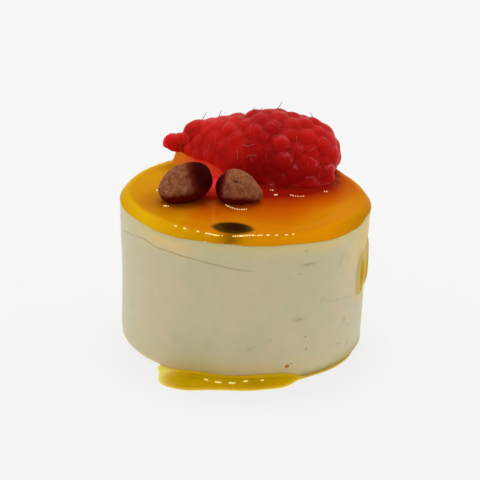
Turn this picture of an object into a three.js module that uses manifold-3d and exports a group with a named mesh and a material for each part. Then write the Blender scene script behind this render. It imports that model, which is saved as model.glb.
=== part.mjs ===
// A small round passion fruit cheesecake, the size of a petit four: a cylinder of cheesecake mousse
// with a glossy fruit glaze on top, half a raspberry and two cocoa nuggets lying on the glaze, and
// glaze that has run down the right side and set in a puddle at the foot of the front.
//
// Millimetres. The origin is the centre of the flat base, +Z is up, and -Y is the front.
// An azimuth is measured round the Z axis from the front, positive towards +X.
import * as THREE from "three";
import { mergeVertices } from "three/addons/utils/BufferGeometryUtils.js";
import Module from "manifold-3d";

const wasm = await Module();
wasm.setup();

// Body, a cylinder of cheesecake mousse
const BASE_RADIUS = 17.15;
const TOP_RADIUS = 17.45;
const BODY_HEIGHT = 19.7;
const FOOT_ROUNDING = 0.6;
const SIDE_UNEVENNESS = 0.09;
const ROUND_STEPS = 80; // facets round the cylinder and the glaze

// Glaze layer on top of the body
const GLAZE_RADIUS = 17.5;
const GLAZE_TOP = 20.85;
const GLAZE_EDGE = 0.85; // radius of the rounded rim
const TOPPING_SINK = 0.35; // how far a topping sits in the glaze
const CLEARANCE = 0.25; // gap between a topping or puddle and what it touches

// Raspberry half. Its axis runs from the stem end, on the right, to the tip, on the left.
const BERRY_LENGTH = 26.0;
const BERRY_HALF_WIDTH = 7.8;
const BERRY_HEIGHT = 9.85;
const BERRY_WIDEST = 0.32; // share of the length, from the stem end
const BERRY_TAPER = 1.7; // how full the tip half is
const BERRY_BLUNT = 2.5; // how square the stem end is
const BERRY_STEM = { x: 13.7, y: 7.3 };
const BERRY_TURN = 7; // degrees that the axis turns towards the back at the tip
const TIP_LIFT = 2.75; // how far the glaze holds the tip up
const LIFT_START = 3.0; // x where the underside starts to rise
const LIFT_LENGTH = 9.5;
const DRUPELET_RADIUS = 1.85;
const DRUPELET_PITCH = 2.95;
const DRUPELET_INSET = 1.65; // depth of the drupelets' centres under the berry's outline
const ROW_PITCH = 2.65;
const CREASE_DEPTH = 1.15; // of the deepest creases, under the berry's outline
const LOWEST_CENTRE = 0.65; // height of the lowest drupelets' centres above the underside
const CREST_SPREAD = 0.07; // how much wider the drupelets stand at the crest than at the foot
const TIP_HEIGHT = 1.0; // height of the last drupelet's centre above the underside
const TIP_RADIUS = 1.7; // of the last drupelet
const RADIUS_SPREAD = 0.14; // spread of the drupelets' radii, as a share of the radius
const SHIFT_SPREAD = 0.5; // spread of the drupelets' places along the axis
const TURN_SPREAD = 0.12; // spread of their places round the axis, in radians
const BERRY_DETAIL = 20; // fineness of the berry's skin

// Glaze that climbs to the berry's lifted end
const MOUND_START = 0.36; // share of the berry's length, from the stem end
const MOUND_END = 0.97;
const MOUND_HELD = 0.8; // share of the berry's width that it holds up
const MOUND_FLARE = 1.1; // width of the fillet on each side
const MOUND_FALL = 2.2; // how steeply the fillet falls

// Cocoa nuggets: centre, half sizes, turn about Z, lean about Y, and the depth of their lumps
const NUGGETS = {
  cocoa_nugget_left: {
    centre: [-8.25, -4.4, 23.3],
    half: [3.95, 3.05, 2.75],
    turn: 30,
    lean: -20,
    point: 0.06,
    seed: 3,
  },
  cocoa_nugget_right: {
    centre: [-0.95, -4.6, 22.8],
    half: [3.2, 2.9, 2.5],
    turn: -16,
    lean: 16,
    point: 0.24,
    seed: 8,
  },
};
const NUGGET_LUMPS = 0.05;

// Glaze that has run down the right side
const RUN_START = { azimuth: 58, z: BODY_HEIGHT };
const RUN_END = { azimuth: 84, z: 7.2 };
const RUN_FILM = 0.22; // thickness of the film between the blobs
const RUN_NARROWING = 0.45; // how much narrower the film is at its lower end
const RUN_BURIED = 0.6; // depth of its back inside the body
const RUN_BLOBS = [
  { azimuth: 67, z: 11.9, half: 1.0, rise: 0.3 },
  { azimuth: 68.5, z: 9.5, half: 1.2, rise: 0.28 },
  { azimuth: 79, z: 10.6, half: 1.6, rise: 0.42 },
];

// Puddle at the foot. Its reach beyond the body goes through these azimuths (degrees, mm).
const PUDDLE_REACH = [
  [-39.5, 0.25],
  [-36, 1.2],
  [-33, 2.6],
  [-30.5, 3.7],
  [-26, 3.95],
  [-20, 3.65],
  [-12, 2.6],
  [0, 2.05],
  [14, 1.8],
  [22, 1.1],
  [29, 0.4],
  [48, 0.25],
];
const PUDDLE_HEIGHT = 1.1; // against the body, at the front
const PUDDLE_EDGE = 0.55; // thickness near the rounded outer edge
const PUDDLE_FILM = 0.4; // height at the thin right-hand end
const PUDDLE_LIP = 0.12; // height of the outermost edge
const PUDDLE_THINS = { from: 18, over: 12 }; // azimuths where it turns into a thin film

const radians = THREE.MathUtils.degToRad;
const smooth = (t) => THREE.MathUtils.smoothstep(t, 0, 1);
const bell = (t) => Math.exp(-t * t);

// A repeatable number from 0 to 1 for each whole number.
function chance(index) {
  const value = Math.sin(index * 127.1 + 311.7) * 43758.5453;
  return value - Math.floor(value);
}

// Straight lines through [x, value] pairs.
function along(pairs, x) {
  if (x <= pairs[0][0]) return pairs[0][1];
  for (let i = 1; i < pairs.length; i++) {
    const [x0, v0] = pairs[i - 1];
    const [x1, v1] = pairs[i];
    if (x <= x1) return v0 + ((v1 - v0) * (x - x0)) / (x1 - x0);
  }
  return pairs.at(-1)[1];
}

function polar(radius, azimuth, z) {
  const angle = radians(azimuth);
  return new THREE.Vector3(radius * Math.sin(angle), -radius * Math.cos(angle), z);
}

// A copy that holds positions alone, so that its vertices can be merged.
function bare(geometry) {
  const copy = geometry.clone();
  for (const name of Object.keys(copy.attributes)) {
    if (name !== "position") copy.deleteAttribute(name);
  }
  return copy;
}

function toSolid(geometry) {
  const merged = mergeVertices(bare(geometry), 1e-4);
  const mesh = new wasm.Mesh({
    numProp: 3,
    vertProperties: new Float32Array(merged.attributes.position.array),
    triVerts: new Uint32Array(merged.index.array),
  });
  return new wasm.Manifold(mesh);
}

function toGeometry(solid) {
  const mesh = solid.getMesh();
  const geometry = new THREE.BufferGeometry();
  geometry.setAttribute("position", new THREE.BufferAttribute(mesh.vertProperties, 3));
  geometry.setIndex(new THREE.BufferAttribute(mesh.triVerts, 1));
  geometry.computeVertexNormals();
  return geometry;
}

// A closed block between two grids of points. u and v run from 0 to 1, and over(u, v) lies on the
// side that a right-handed turn from u to v points to.
function blockBetween(columns, rows, over, under) {
  const points = [];
  const faces = [];
  const stride = rows + 1;
  const count = (columns + 1) * stride;
  for (const surface of [over, under]) {
    for (let i = 0; i <= columns; i++) {
      for (let j = 0; j <= rows; j++) points.push(...surface(i / columns, j / rows));
    }
  }
  const quad = (a, b, c, d) => faces.push(a, b, c, a, c, d);
  for (let i = 0; i < columns; i++) {
    for (let j = 0; j < rows; j++) {
      const a = i * stride + j;
      quad(a, a + stride, a + stride + 1, a + 1);
      quad(count + a, count + a + 1, count + a + stride + 1, count + a + stride);
    }
  }
  const wall = (a, b) => quad(b, count + b, count + a, a);
  for (let i = 0; i < columns; i++) {
    wall((i + 1) * stride, i * stride);
    wall(i * stride + rows, (i + 1) * stride + rows);
  }
  for (let j = 0; j < rows; j++) {
    wall(j, j + 1);
    wall(columns * stride + j + 1, columns * stride + j);
  }
  const geometry = new THREE.BufferGeometry();
  geometry.setAttribute("position", new THREE.Float32BufferAttribute(points, 3));
  geometry.setIndex(faces);
  return toSolid(geometry);
}

function sideRadius(z) {
  return THREE.MathUtils.lerp(BASE_RADIUS, TOP_RADIUS, z / BODY_HEIGHT);
}

// Turned upright about Z from [radius, z] pairs that start and end on the axis.
function turned(profile) {
  const points = profile.map(([radius, z]) => new THREE.Vector2(radius, z));
  return new THREE.LatheGeometry(points, ROUND_STEPS).rotateX(Math.PI / 2);
}

function quarterTurn(radius, z, size, from, steps) {
  const points = [];
  for (let i = 0; i <= steps; i++) {
    const angle = from + ((Math.PI / 2) * i) / steps;
    points.push([radius + size * Math.cos(angle), z + size * Math.sin(angle)]);
  }
  return points;
}

// Body, a little out of round between its flat base and its top, with the run fused to its side.
function body() {
  const foot = BASE_RADIUS - FOOT_ROUNDING;
  const profile = [[0, 0]];
  profile.push(...quarterTurn(foot, FOOT_ROUNDING, FOOT_ROUNDING, -Math.PI / 2, 3));
  for (const share of [0.25, 0.5, 0.75]) {
    const z = BODY_HEIGHT * share;
    profile.push([sideRadius(z), z]);
  }
  profile.push([TOP_RADIUS, BODY_HEIGHT], [0, BODY_HEIGHT]);
  const geometry = turned(profile);
  const place = geometry.attributes.position;
  for (let i = 0; i < place.count; i++) {
    const [x, y, z] = [place.getX(i), place.getY(i), place.getZ(i)];
    const angle = Math.atan2(x, -y);
    const share = z / BODY_HEIGHT;
    const wave = Math.sin(2 * angle + 3 * share) + 0.6 * Math.sin(5 * angle - 4 * share + 1);
    const grown = 1 + (SIDE_UNEVENNESS * wave * Math.sin(Math.PI * share)) / BASE_RADIUS;
    place.setXY(i, x * grown, y * grown);
  }
  return toSolid(geometry).add(run());
}

function runThickness(azimuth, z) {
  const across = (azimuth - RUN_START.azimuth) / (RUN_END.azimuth - RUN_START.azimuth);
  const down = (RUN_START.z - z) / (RUN_START.z - RUN_END.z);
  const narrow = 1 - RUN_NARROWING * smooth(down);
  const film = RUN_FILM * Math.min(1 - ((across - 0.5) / (0.5 * narrow)) ** 2, 1 - down ** 4);
  const blobs = RUN_BLOBS.map((blob) => {
    const sideways = radians(azimuth - blob.azimuth) * TOP_RADIUS;
    return blob.rise * bell(Math.hypot(sideways, (z - blob.z) * 0.8) / blob.half);
  });
  return film + Math.max(...blobs);
}

// The run lies in the body's side: its back is buried, and its edges dip under the surface.
function run() {
  const overlap = { sides: 3, end: 1, dip: 0.3 };
  const at = (u, v, depth) => {
    const sides = [RUN_START.azimuth - overlap.sides, RUN_END.azimuth + overlap.sides];
    const azimuth = THREE.MathUtils.lerp(...sides, u);
    const z = THREE.MathUtils.lerp(RUN_END.z - overlap.end, RUN_START.z, v);
    return polar(sideRadius(z) + depth(azimuth, z), azimuth, z);
  };
  const outside = (azimuth, z) => Math.max(runThickness(azimuth, z), -overlap.dip);
  return blockBetween(
    15,
    18,
    (u, v) => at(u, v, outside),
    (u, v) => at(u, v, () => -RUN_BURIED),
  );
}

// The berry's outline, as a share of its full width, at a share of its length from the stem end.
function berryOutline(share) {
  if (share < BERRY_WIDEST) return Math.sqrt(1 - (1 - share / BERRY_WIDEST) ** BERRY_BLUNT);
  return 1 - ((share - BERRY_WIDEST) / (1 - BERRY_WIDEST)) ** BERRY_TAPER;
}

function berryUnderside(x) {
  const floor = GLAZE_TOP - TOPPING_SINK;
  return floor + TIP_LIFT * smooth((LIFT_START - x) / LIFT_LENGTH);
}

// A point of the berry from its distance along the axis, its offset to the back and its height.
function berryPoint(distance, back, height) {
  const turn = radians(BERRY_TURN);
  const x = BERRY_STEM.x - distance * Math.cos(turn) + back * Math.sin(turn);
  const y = BERRY_STEM.y + distance * Math.sin(turn) + back * Math.cos(turn);
  return new THREE.Vector3(x, y, berryUnderside(x) + height);
}

// Shares of the length at the rows of drupelets, evenly spaced over the outline from the tip.
function drupeletRows() {
  const steps = 400;
  const rows = [];
  let walked = 0;
  let before = new THREE.Vector2(BERRY_LENGTH - 2 * DRUPELET_INSET, 0);
  for (let i = steps - 1; i >= 0; i--) {
    const share = i / steps;
    const height = (BERRY_HEIGHT - DRUPELET_INSET) * berryOutline(share);
    const here = new THREE.Vector2(share * (BERRY_LENGTH - 2 * DRUPELET_INSET), height);
    walked += here.distanceTo(before);
    if (walked >= ROW_PITCH * (rows.length + 1)) rows.push(share);
    before = here;
  }
  return rows;
}

// The flesh between the drupelets: two rows of balls along the axis, one above the other.
function fleshBalls() {
  const balls = [];
  const steps = 24;
  for (let i = 0; i <= steps; i++) {
    const share = i / steps;
    const outline = berryOutline(share);
    const radius = (BERRY_HALF_WIDTH - CREASE_DEPTH) * outline;
    const even = THREE.MathUtils.lerp(CREASE_DEPTH, BERRY_LENGTH - CREASE_DEPTH, share);
    const distance = THREE.MathUtils.clamp(even, radius, BERRY_LENGTH - radius);
    for (const height of [0, (BERRY_HEIGHT - BERRY_HALF_WIDTH) * outline]) {
      balls.push({ centre: berryPoint(distance, 0, height), radius });
    }
  }
  return balls;
}

// Centre and radius of every drupelet: one at the tip, then rows of arches that have a drupelet on
// the crest in every second row.
function drupelets() {
  const tip = berryPoint(BERRY_LENGTH - DRUPELET_INSET, 0, TIP_HEIGHT);
  const found = [{ centre: tip, radius: TIP_RADIUS }];
  drupeletRows().forEach((share, row) => {
    const outline = berryOutline(share);
    const distance = THREE.MathUtils.lerp(DRUPELET_INSET, BERRY_LENGTH - DRUPELET_INSET, share);
    const halfWidth = (BERRY_HALF_WIDTH - DRUPELET_INSET) * outline;
    const height = (BERRY_HEIGHT - DRUPELET_INSET) * outline;
    const step = DRUPELET_PITCH / Math.sqrt((halfWidth ** 2 + height ** 2) / 2);
    const shift = row % 2 ? 0 : 0.5;
    const most = Math.floor(Math.PI / 2 / step + shift);
    for (let k = shift - most; k <= most - shift; k++) {
      const number = found.length;
      const even = k * step + TURN_SPREAD * (chance(number) - 0.5);
      const angle = even + CREST_SPREAD * Math.sin(2 * even);
      const centre = berryPoint(
        distance + SHIFT_SPREAD * (chance(number + 100) - 0.5),
        halfWidth * Math.sin(angle),
        LOWEST_CENTRE + Math.max(height - LOWEST_CENTRE, 0) * Math.cos(angle),
      );
      const radius = DRUPELET_RADIUS * (1 + RADIUS_SPREAD * (chance(number + 200) - 0.43));
      found.push({ centre, radius });
    }
  });
  return found;
}

// How far a ray leaves a ball, or 0 where it misses it.
function exitDistance(start, direction, { centre, radius }) {
  const towards = new THREE.Vector3().subVectors(centre, start);
  const along = towards.dot(direction);
  const missed = towards.lengthSq() - along * along;
  return missed > radius * radius ? 0 : along + Math.sqrt(radius * radius - missed);
}

// Everything under the berry's underside.
function belowBerry() {
  const reach = 20;
  const depth = 8;
  const at = (u, v, z) => {
    const x = THREE.MathUtils.lerp(-reach, reach, u);
    return [x, THREE.MathUtils.lerp(-reach, reach, v), z(x)];
  };
  return blockBetween(
    64,
    1,
    (u, v) => at(u, v, berryUnderside),
    (u, v) => at(u, v, () => GLAZE_TOP - depth),
  );
}

// The skin lies on the farthest ball that a ray from the berry's axis meets. It can be made larger
// all round, for the hollow that it leaves in the glaze.
function raspberry(extra) {
  const middle = 0.44; // shares of the length: where the rays start, and how far they spread
  const spread = 0.38;
  const startHeight = 0.4;
  const balls = [...drupelets(), ...fleshBalls()];
  for (const ball of balls) ball.radius += extra;
  const skin = mergeVertices(bare(new THREE.IcosahedronGeometry(1, BERRY_DETAIL)), 1e-5);
  const place = skin.attributes.position;
  const normal = new THREE.Vector3();
  const turn = new THREE.Matrix4().makeRotationZ(radians(180 - BERRY_TURN));
  for (let i = 0; i < place.count; i++) {
    normal.fromBufferAttribute(place, i);
    const start = berryPoint(BERRY_LENGTH * (middle + spread * normal.x), 0, startHeight);
    const direction = normal.clone().applyMatrix4(turn);
    const reached = Math.max(...balls.map((ball) => exitDistance(start, direction, ball)));
    start.addScaledVector(direction, Math.max(reached, 1));
    place.setXYZ(i, start.x, start.y, start.z);
  }
  return toSolid(skin).subtract(belowBerry());
}

// An egg with a blunt and a pointed end, lightly lumped, and cut flat where it stands in the glaze.
function nugget({ centre, half, turn, lean, point, seed }, extra) {
  const ball = new THREE.IcosahedronGeometry(1, 5);
  const place = ball.attributes.position;
  const spot = new THREE.Vector3();
  for (let i = 0; i < place.count; i++) {
    spot.fromBufferAttribute(place, i);
    const lumps =
      Math.sin(3.1 * spot.x + seed) * Math.sin(2.7 * spot.y + 2 * seed) +
      0.6 * Math.sin(4.3 * spot.z + 2.1 * spot.x + 3 * seed);
    spot.multiplyScalar(1 + NUGGET_LUMPS * lumps);
    const narrowing = 1 - point * smooth(spot.x) - 0.3 * point * spot.x;
    place.setXYZ(
      i,
      spot.x * (half[0] + extra),
      spot.y * (half[1] * narrowing + extra),
      spot.z * (half[2] * narrowing + extra),
    );
  }
  ball.rotateY(radians(lean)).rotateZ(radians(turn)).translate(...centre);
  return toSolid(ball).trimByPlane([0, 0, 1], GLAZE_TOP - TOPPING_SINK);
}

// Glaze that climbs from the layer to the lifted end of the raspberry.
function mound() {
  const bottom = GLAZE_TOP - 0.6; // inside the layer
  const shutIn = 0.12; // share of the mound's length over which its end rises
  const at = (u, v, z) => {
    const share = THREE.MathUtils.lerp(MOUND_START, MOUND_END, u);
    const held = BERRY_HALF_WIDTH * berryOutline(share) * MOUND_HELD;
    const across = (1 - 2 * v) * (held + 2 * MOUND_FLARE);
    const spot = berryPoint(share * BERRY_LENGTH, across, 0);
    const outside = Math.max(0, Math.abs(across) - held) / MOUND_FLARE;
    const full = berryUnderside(spot.x) - CLEARANCE - bottom;
    return [spot.x, spot.y, z(full * Math.exp(-MOUND_FALL * outside) * smooth((1 - u) / shutIn))];
  };
  return blockBetween(
    16,
    20,
    (u, v) => at(u, v, (climb) => bottom + climb),
    (u, v) => at(u, v, () => bottom - 0.2),
  );
}

// The layer has a rounded rim, and a hollow with a gap all round for each topping that lies in it.
function glaze() {
  const bottom = BODY_HEIGHT;
  const profile = [[0, bottom]];
  profile.push([GLAZE_RADIUS, bottom]);
  profile.push(...quarterTurn(GLAZE_RADIUS - GLAZE_EDGE, GLAZE_TOP - GLAZE_EDGE, GLAZE_EDGE, 0, 5));
  profile.push([0, GLAZE_TOP]);
  const layer = toSolid(turned(profile)).add(mound());
  const hollows = Object.values(NUGGETS).map((shape) => nugget(shape, CLEARANCE));
  hollows.push(raspberry(CLEARANCE));
  return hollows.reduce((solid, hollow) => solid.subtract(hollow), layer);
}

// Puddle of glaze at the foot: highest against the body, with a rounded outer edge.
function puddle() {
  const first = PUDDLE_REACH[0][0];
  const last = PUDDLE_REACH.at(-1)[0];
  const startsOver = 6; // degrees over which its left end rises from half height
  const at = (u, v, height) => {
    const azimuth = THREE.MathUtils.lerp(first, last, u);
    const wall = sideRadius(PUDDLE_HEIGHT) + CLEARANCE;
    const reach = along(PUDDLE_REACH, azimuth);
    return polar(wall + reach * (1 - v), azimuth, height(azimuth, 1 - v));
  };
  const thickness = (azimuth, out) => {
    const thin = smooth((azimuth - PUDDLE_THINS.from) / PUDDLE_THINS.over);
    const start = 0.5 + 0.5 * smooth((azimuth - first) / startsOver);
    const wall = THREE.MathUtils.lerp(PUDDLE_HEIGHT, PUDDLE_FILM, thin) * start;
    const fall = Math.max(wall - PUDDLE_EDGE, 0) * smooth(1.6 * out);
    return Math.max((wall - fall) * Math.sqrt(1 - out ** 4), PUDDLE_LIP);
  };
  return blockBetween(
    48,
    5,
    (u, v) => at(u, v, thickness),
    (u, v) => at(u, v, () => 0),
  );
}

function named(name, solid, colour, roughness) {
  const material = new THREE.MeshStandardMaterial({ color: colour, roughness, metalness: 0 });
  const mesh = new THREE.Mesh(toGeometry(solid), material);
  mesh.name = name;
  return mesh;
}

const cheesecake = new THREE.Group();
cheesecake.add(named("cheesecake_body", body(), 0xd8ceaa, 0.55));
cheesecake.add(named("passion_fruit_glaze", glaze(), 0xe08a06, 0.08));
cheesecake.add(named("raspberry_half", raspberry(0), 0xb01318, 0.35));
for (const [name, shape] of Object.entries(NUGGETS)) {
  cheesecake.add(named(name, nugget(shape, 0), 0x6b3a22, 0.85));
}
cheesecake.add(named("glaze_puddle", puddle(), 0xc79a10, 0.12));

export default cheesecake;
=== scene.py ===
# The looks of a small round passion fruit cheesecake: a cylinder of mousse under a fruit glaze,
# with half a raspberry and two cocoa nuggets on top, a run of glaze down the right side and a
# puddle at the foot.
#
# Shapes are worked out in millimetres and put into metres as each mesh is made. +Z is up, -Y is
# the front, and an azimuth is measured round Z from the front, positive towards +X.
import math

import bpy
import numpy as np
from mathutils import Matrix, Vector, noise
from mathutils.bvhtree import BVHTree


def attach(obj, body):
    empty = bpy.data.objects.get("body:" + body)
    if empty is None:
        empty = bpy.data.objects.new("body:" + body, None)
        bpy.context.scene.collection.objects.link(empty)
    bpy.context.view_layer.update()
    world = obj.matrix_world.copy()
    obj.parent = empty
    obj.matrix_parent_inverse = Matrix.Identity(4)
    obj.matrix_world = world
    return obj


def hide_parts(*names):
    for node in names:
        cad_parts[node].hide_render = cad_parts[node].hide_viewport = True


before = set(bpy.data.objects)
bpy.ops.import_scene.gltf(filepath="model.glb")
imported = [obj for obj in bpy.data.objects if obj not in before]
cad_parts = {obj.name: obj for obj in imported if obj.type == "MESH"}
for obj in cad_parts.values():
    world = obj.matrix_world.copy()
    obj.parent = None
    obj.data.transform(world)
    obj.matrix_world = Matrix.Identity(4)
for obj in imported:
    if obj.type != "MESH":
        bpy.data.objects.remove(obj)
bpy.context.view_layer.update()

MM = 0.001

# Camera, in millimetres and degrees
CAMERA_LENS = 106.27  # focal length over a sensor 36 mm wide
CAMERA_AIM = (-0.59, 0.0, 13.6)
CAMERA_DISTANCE = 200.0
CAMERA_ELEVATION = 21.86
CAMERA_ROLL = 2.04

# Mousse
BASE_RADIUS = 17.15
TOP_RADIUS = 17.45
BODY_HEIGHT = 19.7
FOOT_ROUNDING = 0.6
SIDE_UNEVENNESS = 0.09
CREASE_AT = [
    (-76, 15.9), (-73.6, 16.3), (-68, 16.85), (-62, 17.22), (-54.5, 17.6), (-49.7, 17.76), (-46, 17.65),
    (-42.4, 17.5), (-34.6, 17.45), (-29.2, 17.35), (-22.5, 17.23), (-16.1, 17.02), (-10, 16.78),
    (-5.6, 16.58), (-2.6, 16.43), (0.3, 16.33), (6.2, 16.29), (14, 16.27)]

# Lower edge of the glaze round the rim, as azimuth and height
GLAZE_FOOT = [
    (-180, 19.75), (-150, 19.6), (-120, 19.82), (-95, 19.7), (-67, 19.85), (-58, 19.92), (-49, 19.8),
    (-40, 19.66), (-29, 19.68), (-21, 19.83), (-10, 19.83), (-3, 19.85), (3.5, 19.74), (10, 19.73),
    (20, 19.75), (31, 19.57), (43, 19.38), (53, 19.46), (62, 19.54), (70, 20.07), (76, 19.89), (95, 19.7),
    (120, 19.55), (150, 19.8), (180, 19.75)]

# Glaze
GLAZE_RADIUS = 17.5
GLAZE_TOP = 20.9
GLAZE_CROWN = 21.1  # height at the middle
TOPPING_SINK = 0.4
# Rim at the front: distance in from its edge, and share of its height below the top
RIM_PROFILE = [
    (0.0, 1.0), (0.08, 0.9), (0.2, 0.805), (0.5, 0.614), (0.9, 0.386), (1.2, 0.234), (1.35, 0.166),
    (1.55, 0.094), (1.8, 0.044), (2.1, 0.016), (2.5, 0.003), (2.9, 0.0)]
RIM_WIDTH = 2.9
SIDE_RIM_SHARE = 0.55  # width of the rim at the sides and back beside that at the front

# Raspberry half
BERRY_LENGTH = 25.6
BERRY_HALF_WIDTH = 7.8
BERRY_HEIGHT = 9.75
BERRY_WIDEST = 0.315
BERRY_TAPER = 1.66
BERRY_BLUNT = (1.65, 0.27)
BERRY_STEM = (13.53, 7.3)
STEM_TUCK = 0.75  # how far the stem end draws in at its foot
# Waves along its crest: share of the length, spread and rise
CREST_WAVES = [
    (0.06, 0.07, 0.15), (0.46, 0.08, 0.8), (0.66, 0.08, -0.2), (0.86, 0.065, 1.45), (0.99, 0.06, 0.9)]
BERRY_TURN = math.radians(7)
TIP_LIFT = 2.75
LIFT_START = 3.0
LIFT_LENGTH = 9.5
TIP_RISE = 0.85  # how much farther the underside of the very tip rises
DRUPELET_RADIUS = 1.95  # of the ball that each drupelet is the top of
DRUPELET_PITCH = 2.5
DRUPELET_ROOM = 0.866  # area that each takes beside the square of the pitch
TIP_SHARE = 0.72  # size of the drupelets at the tip beside the others
RADIUS_SPREAD = 0.34
PROUD_SPREAD = 0.5
FLESH_DEPTH = 0.68
FLESH_LIFT_FRONT = 0.7  # how much more the flesh fills the creases at the smoother left front
BERRY_DETAIL = 97
SKIN_SOFTNESS = 0.19  # rounding of the creases between drupelets

# Glaze that climbs to the berry's lifted end
MOUND_START = 0.36
MOUND_END = 0.97
MOUND_HELD = 0.8
MOUND_FLARE = 1.1
MOUND_FALL = 2.2

# Cocoa nuggets: centre, half sizes, turn about Z, lean about Y, how pointed, and a seed
NUGGETS = {
    "cocoa_nugget_left": ((-8.2, -4.4, 23.3), (3.85, 3.0, 2.65), 30, -24, 0.06, 3),
    "cocoa_nugget_right": ((-0.95, -4.6, 22.8), (3.2, 2.9, 2.5), -16, 16, 0.24, 8),
}
NUGGET_PIT = (-1.41, -6.75, 24.77)  # a small hole in the front of the right one
NUGGET_LUMPS = 0.05
NUGGET_DETAIL = 62

# Run of glaze down the right side
RUN_AZIMUTHS = (58, 84)
RUN_HEIGHTS = (19.7, 7.2)
RUN_FILM = 0.12
RUN_SKIN = ((57.5, 84.5, 130), (6.6, 19.9, 190))  # azimuths and heights that its gel is drawn over
RUN_DROP = 0.85  # height of the drops beside the rises given below
RUN_NARROWING = 0.45
RUN_BLOBS = [(67.5, 12.1, 0.85, 0.26), (68.3, 9.7, 1.1, 0.28), (78.5, 10.9, 1.5, 0.42)]

# Puddle at the foot: azimuth and reach beyond the body
PUDDLE_REACH = [
    (-39.5, 0.2), (-36.3, 1.05), (-33, 2.5), (-31, 3.3), (-29, 3.75), (-24.6, 3.9), (-19.5, 3.8),
    (-15.6, 3.2), (-12, 2.65), (-7, 2.35), (0, 2.15), (6, 2.0), (11, 1.9), (17, 1.7), (22.2, 1.05),
    (25.8, 0.45), (30, 0.2), (46, 0.1), (58, -0.08), (67, -0.4)]
# Height of the puddle where it meets the body
PUDDLE_WALL = [
    (-39.5, 0.12), (-36.4, 0.22), (-31.5, 0.42), (-26.9, 0.64), (-21, 0.9), (-15.3, 0.98), (-8.3, 0.96),
    (-1, 1.04), (6, 1.24), (11, 1.28), (16, 1.24), (21, 1.1), (24.4, 0.75), (27, 0.45), (32, 0.3),
    (50, 0.28), (60, 0.2), (67, 0.03)]
PUDDLE_BODY = 0.88  # height of the puddle's own surface
PUDDLE_BEGIN = 17.42


# Numbers and curves

def smooth(share):
    share = np.clip(share, 0.0, 1.0)
    return share * share * (3 - 2 * share)


def above(value, start, width):
    """0 up to the start, rising smoothly to 1 over the width."""
    return smooth((value - start) / width)


def below(value, end, width):
    """1 far below the end, falling smoothly to 0 at it over the width."""
    return smooth((end - value) / width)


def bell(distance):
    return np.exp(-np.square(distance))


def chance(index):
    value = np.sin(index * 127.1 + 311.7) * 43758.5453
    return value - np.floor(value)


def lerp(start, end, share):
    return start + (end - start) * share


def curve_through(pairs, x):
    """A smooth curve through (x, value) pairs."""
    xs, values = (np.array(column, float) for column in zip(*pairs))
    x = np.clip(x, xs[0], xs[-1])
    slopes = np.gradient(values, xs)
    left = np.clip(np.searchsorted(xs, x, side="right") - 1, 0, len(xs) - 2)
    width = xs[left + 1] - xs[left]
    t = (x - xs[left]) / width
    rise = smooth(t)
    bend = t * (1 - t) * width * (slopes[left] * (1 - t) - slopes[left + 1] * t)
    return lerp(values[left], values[left + 1], rise) + bend


def polar(radius, azimuth, height):
    angle = np.radians(azimuth)
    return np.stack(np.broadcast_arrays(radius * np.sin(angle), -radius * np.cos(angle), height), -1)


def grain_at(points, size, seed=0):
    """Smooth noise from about -1 to 1, with lumps of about that size in millimetres."""
    shift = Vector((seed * 17.3, seed * 5.1, seed * 9.7))
    return np.array([noise.noise(Vector(point) / size + shift) for point in points.tolist()])


# Meshes

def grid_faces(rows, columns, closed=False, first=0):
    """Quads over a grid of points, row after row. A closed grid joins its last column to its first."""
    last = columns if closed else columns - 1
    row, column = np.meshgrid(np.arange(rows - 1), np.arange(last), indexing="ij")
    after = (column + 1) % columns
    corners = (row * columns + column, row * columns + after,
               (row + 1) * columns + after, (row + 1) * columns + column)
    return first + np.stack(corners, -1).reshape(-1, 4)


def slab_faces(rows, columns):
    """Faces of a closed slab between a grid of points and a second one listed after it."""
    count = rows * columns
    over = grid_faces(rows, columns)
    border = list(range(columns)) + [r * columns + columns - 1 for r in range(1, rows)]
    border += [(rows - 1) * columns + c for c in range(columns - 2, -1, -1)]
    border += [r * columns for r in range(rows - 2, 0, -1)]
    sides = [[b, a, a + count, b + count] for a, b in zip(border, border[1:] + border[:1])]
    return over.tolist() + (over[:, ::-1] + count).tolist() + sides


def turned_mesh(rings):
    """Points and faces of a closed body from rings of points, from its lowest ring to its top."""
    rows, columns = rings.shape[:2]
    low, high = rings[0].mean(0), rings[-1].mean(0)
    points = np.vstack([rings.reshape(-1, 3), low, high])
    faces = grid_faces(rows, columns, closed=True).tolist()
    here = np.arange(columns)
    after = (here + 1) % columns
    top = (rows - 1) * columns
    faces += [[rows * columns, b, a] for a, b in zip(here, after)]
    faces += [[rows * columns + 1, top + a, top + b] for a, b in zip(here, after)]
    return points, faces


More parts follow.
